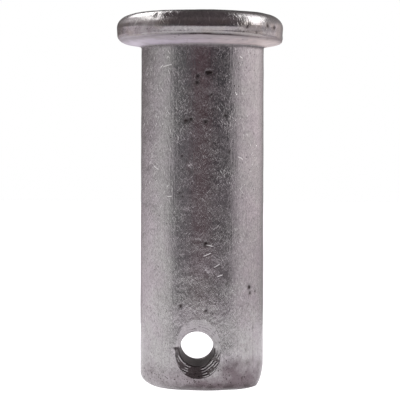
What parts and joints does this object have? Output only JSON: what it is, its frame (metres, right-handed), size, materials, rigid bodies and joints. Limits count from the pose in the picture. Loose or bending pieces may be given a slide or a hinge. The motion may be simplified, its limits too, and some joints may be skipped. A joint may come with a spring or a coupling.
{
  "type": "clevis pin",
  "caption": "Headed steel pin with a round flat head, plain shank, blunt end and a countersunk cross hole near the end for a cotter pin.",
  "frame": {"origin": "on the shank's axis, at the flat end face that the pin stands on", "axes": "+Z along the shank from the end to the head; the cross hole runs along Y"},
  "size_m": [0.0171, 0.017, 0.0384],
  "materials": {
    "plated_steel": "zinc plated, dulled by tumbling, with fine dents, scratches and dark specks"
  },
  "bodies": {
    "root": {"clevis_pin": "plated_steel"}
  },
  "joints": []
}
